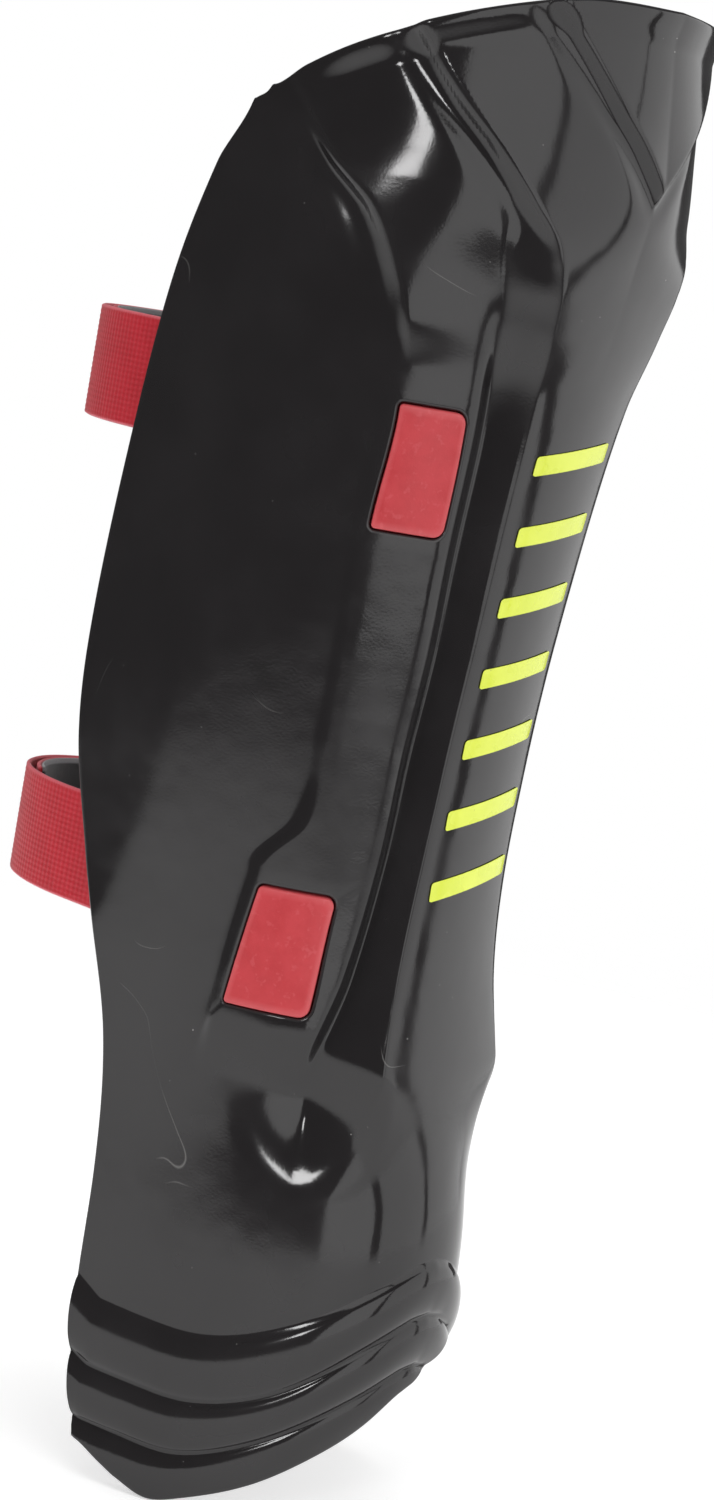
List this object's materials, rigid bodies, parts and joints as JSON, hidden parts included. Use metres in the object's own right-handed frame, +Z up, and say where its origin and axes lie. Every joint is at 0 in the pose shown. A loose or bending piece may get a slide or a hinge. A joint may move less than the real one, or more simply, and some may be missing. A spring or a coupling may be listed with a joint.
{
  "type": "ski racing shin guard",
  "caption": "Tall curved shin guard with a moulded gloss shell, foam pads inside and webbing straps that close behind the calf.",
  "frame": {"origin": "on the leg's axis at the level of the shell's lowest edge", "axes": "+Z up the shin towards the knee, -Y towards the crest at the front, +X to the wearer's left side"},
  "size_m": [0.1234, 0.1664, 0.401],
  "materials": {
    "shell": "glossy",
    "bars": "satin",
    "plug": "satin",
    "clamp": "matte",
    "webbing": "woven",
    "lining": "hook and loop pile",
    "pad": "knit",
    "patch": "hook pile"
  },
  "bodies": {
    "guard": {"shell": "shell", "crest_bars": "bars", "plug_upper_left": "plug", "plug_upper_right": "plug", "plug_lower_left": "plug", "plug_lower_right": "plug", "clamp_upper_left": "clamp", "clamp_upper_right": "clamp", "clamp_lower_left": "clamp", "clamp_lower_right": "clamp", "run_upper_left": "webbing", "run_upper_right": "webbing", "run_lower_left": "webbing", "run_lower_right": "webbing", "pad_knee": "pad", "pad_shin": "pad", "pad_ankle": "pad", "patch_knee": "patch", "patch_shin": "patch", "patch_ankle": "patch"},
    "upper_outer_half": {"web_upper_left": "webbing", "hook_upper_left": "lining"},
    "upper_inner_half": {"web_upper_right": "webbing", "lining_upper_right": "lining"},
    "lower_outer_half": {"web_lower_left": "webbing", "hook_lower_left": "lining"},
    "lower_inner_half": {"web_lower_right": "webbing", "lining_lower_right": "lining"}
  },
  "joints": [
    {"name": "upper_outer_swing", "type": "hinge", "parent": "guard", "child": "upper_outer_half", "pos_m": [-0.0431, 0.0392, 0.288], "axis": [0, 0, 1], "range_deg": [0, 80]},
    {"name": "upper_inner_swing", "type": "hinge", "parent": "guard", "child": "upper_inner_half", "pos_m": [0.0431, 0.0392, 0.288], "axis": [0, 0, -1], "range_deg": [0, 32]},
    {"name": "lower_outer_swing", "type": "hinge", "parent": "guard", "child": "lower_outer_half", "pos_m": [-0.0382, 0.0414, 0.16], "axis": [0, 0, 1], "range_deg": [0, 80]},
    {"name": "lower_inner_swing", "type": "hinge", "parent": "guard", "child": "lower_inner_half", "pos_m": [0.0382, 0.0414, 0.16], "axis": [0, 0, -1], "range_deg": [0, 32]}
  ],
  "couplings": [
    {"joint": "upper_inner_swing", "follows": "upper_outer_swing", "ratio": 0.4},
    {"joint": "lower_inner_swing", "follows": "lower_outer_swing", "ratio": 0.4}
  ]
}
